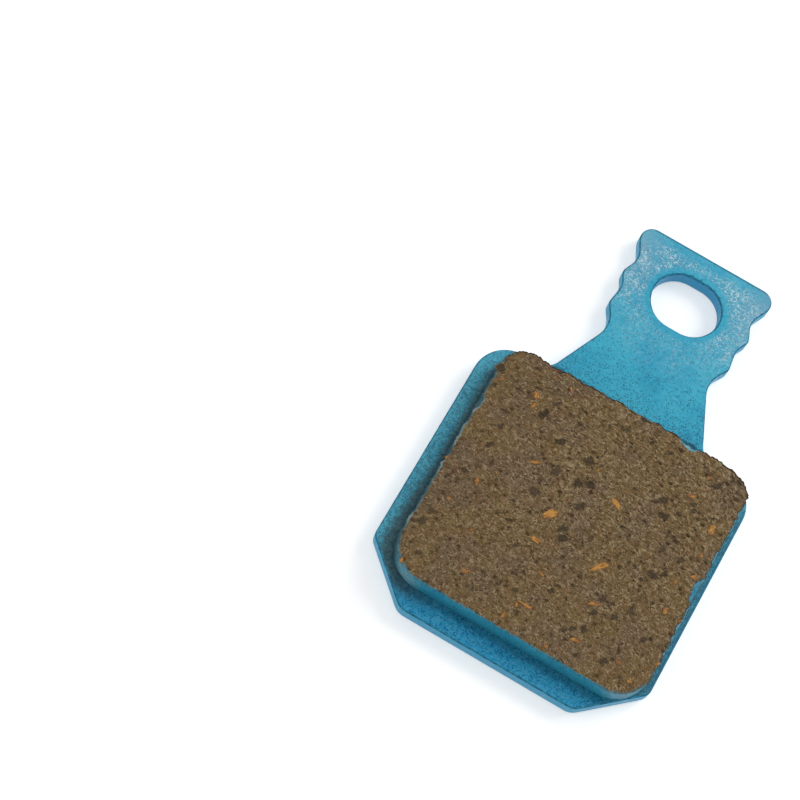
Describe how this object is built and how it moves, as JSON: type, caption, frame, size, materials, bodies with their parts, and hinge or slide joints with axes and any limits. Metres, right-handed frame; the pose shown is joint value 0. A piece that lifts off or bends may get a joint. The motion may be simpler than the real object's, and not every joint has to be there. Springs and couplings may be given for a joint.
{
  "type": "disc brake pad",
  "caption": "Flat disc brake pad: a moulded ceramic friction block keyed into a painted stamped steel backing plate, whose scalloped tab is slotted for the pad pin.",
  "frame": {"origin": "centre of the bounding box's bottom, on the back face that the piston pushes", "axes": "+Z out of the friction face, +Y along the pad towards the pin tab, +X across it"},
  "size_m": [0.025, 0.0402, 0.004],
  "materials": {
    "plate_paint": "thin satin blue paint over blasted steel",
    "friction_compound": "ground brown compound with fibres, dark grains and copper shavings"
  },
  "bodies": {
    "root": {"backing_plate": "plate_paint", "friction_block": "friction_compound"}
  },
  "joints": []
}
